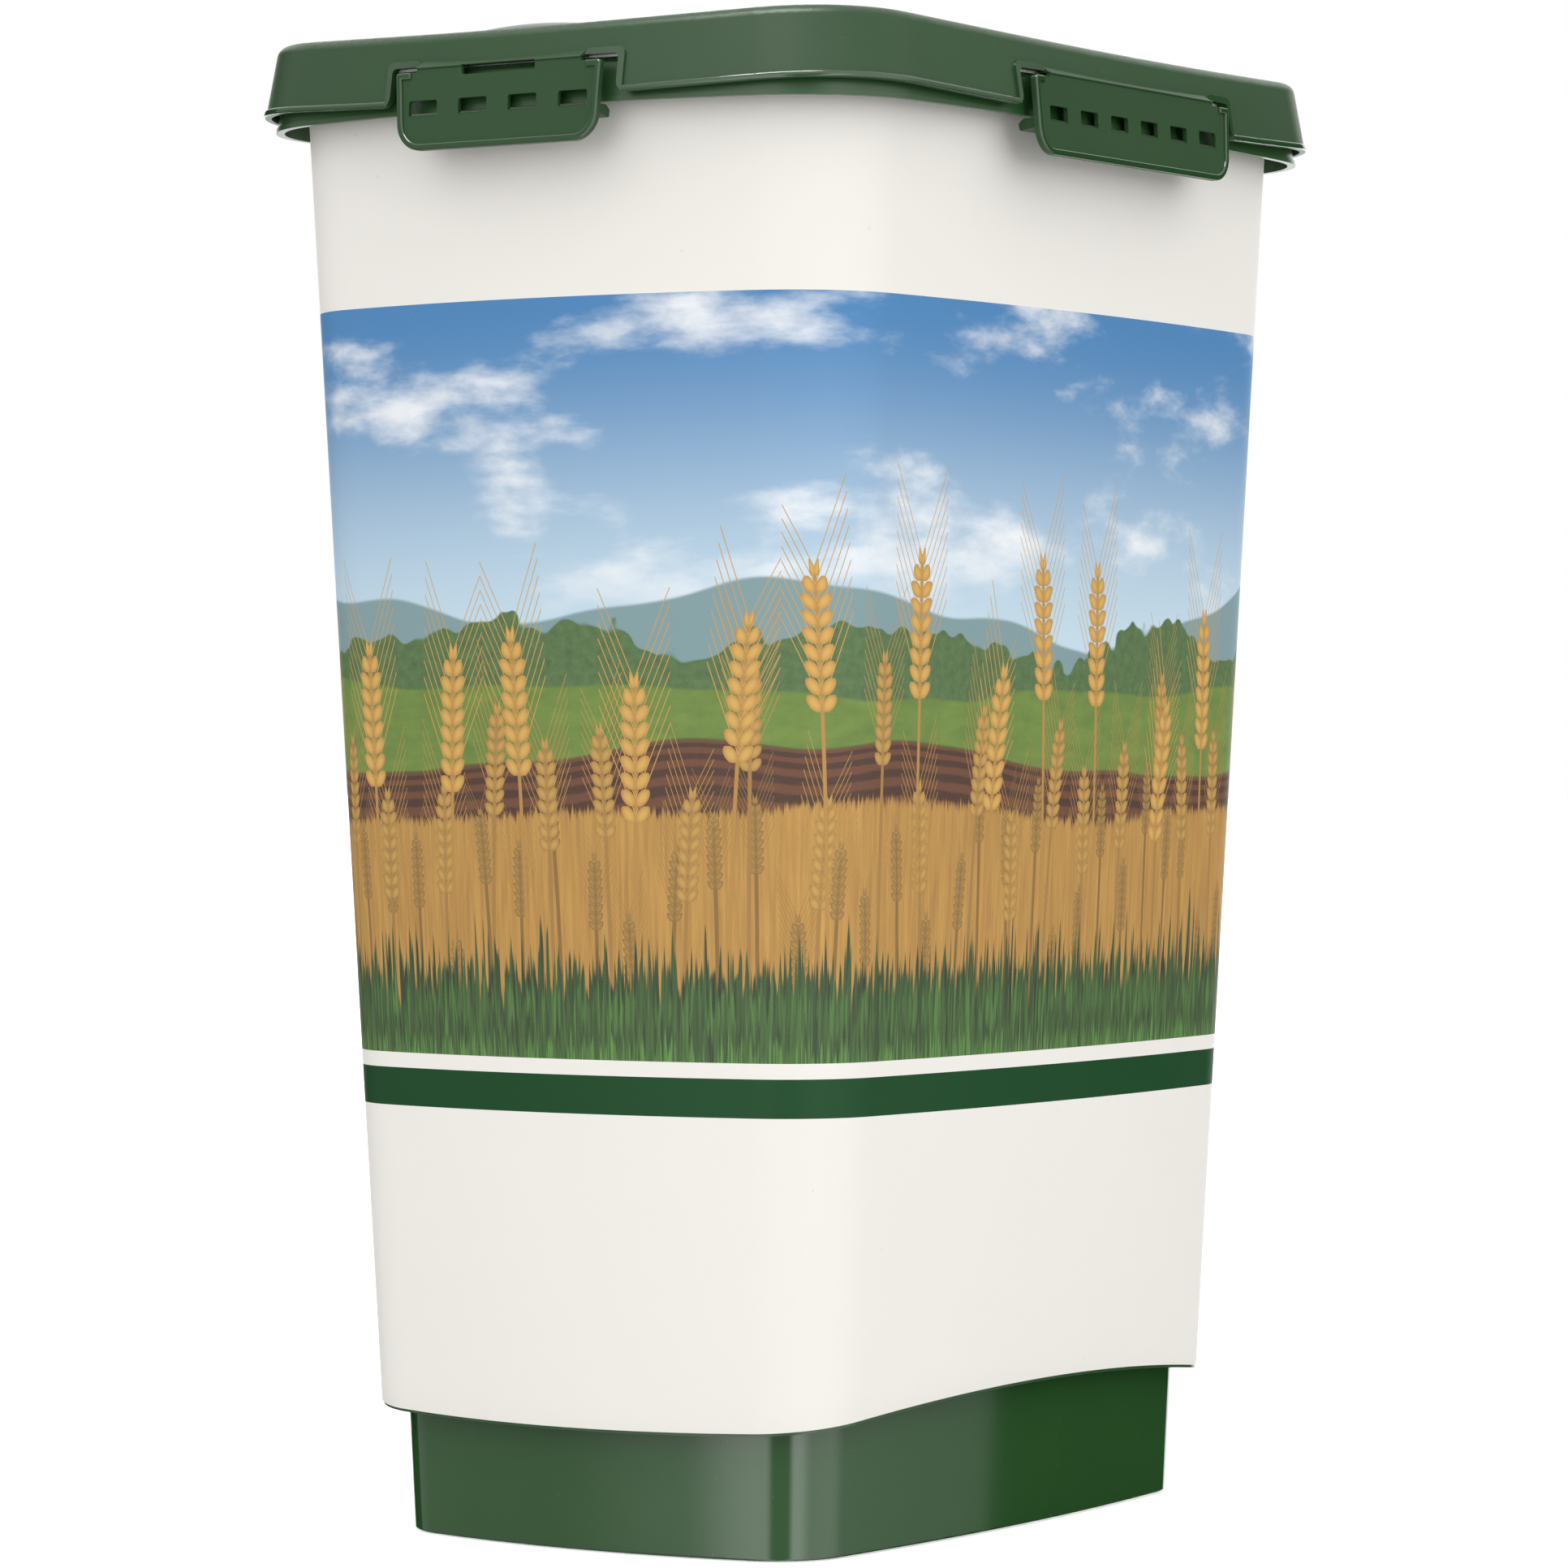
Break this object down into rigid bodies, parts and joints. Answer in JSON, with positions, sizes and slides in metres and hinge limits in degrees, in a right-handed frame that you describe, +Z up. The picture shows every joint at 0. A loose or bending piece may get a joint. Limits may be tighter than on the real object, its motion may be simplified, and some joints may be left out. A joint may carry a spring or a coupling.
{
  "type": "feed bin",
  "caption": "Tall tapered feed bin with a stepped plinth, a printed wrap and a lift-off lid that hinged clips hold down under the rim.",
  "frame": {"origin": "centre of the foot on the floor", "axes": "+Z up, X along the long sides, -Y is the front long side, -X is the left short side"},
  "size_m": [0.4266, 0.3212, 0.5911],
  "materials": {
    "tub_green": "glossy moulded",
    "lid_green": "fine matt texture",
    "wrap_white": "satin printed film",
    "seal_grey": "soft matt",
    "grip_grey": "satin moulded"
  },
  "bodies": {
    "bin": {"tub_foot": "tub_green", "tub_wall": "tub_green", "tub_rim": "tub_green", "wall_wrap": "wrap_white"},
    "lid": {"lid": "lid_green", "lid_seal": "seal_grey", "left_grip": "grip_grey", "right_grip": "grip_grey", "left_hinge_web": "lid_green", "right_hinge_web": "lid_green", "front_hinge_web": "lid_green", "back_hinge_web": "lid_green"},
    "left_clip": {"left_clip": "lid_green"},
    "right_clip": {"right_clip": "lid_green"},
    "front_clip": {"front_clip": "lid_green"},
    "back_clip": {"back_clip": "lid_green"}
  },
  "joints": [
    {"name": "lid_lift", "type": "slide", "parent": "bin", "child": "lid", "axis": [0, 0, 1], "range_m": [0, 0.24]},
    {"name": "left_clip_hinge", "type": "hinge", "parent": "lid", "child": "left_clip", "pos_m": [-0.21065, 0, 0.574], "axis": [0, 1, 0], "range_deg": [0, 120]},
    {"name": "right_clip_hinge", "type": "hinge", "parent": "lid", "child": "right_clip", "pos_m": [0.21065, 0, 0.574], "axis": [0, -1, 0], "range_deg": [0, 120]},
    {"name": "front_clip_hinge", "type": "hinge", "parent": "lid", "child": "front_clip", "pos_m": [0, -0.15795, 0.574], "axis": [-1, 0, 0], "range_deg": [0, 120]},
    {"name": "back_clip_hinge", "type": "hinge", "parent": "lid", "child": "back_clip", "pos_m": [0, 0.15795, 0.574], "axis": [1, 0, 0], "range_deg": [0, 120]}
  ]
}
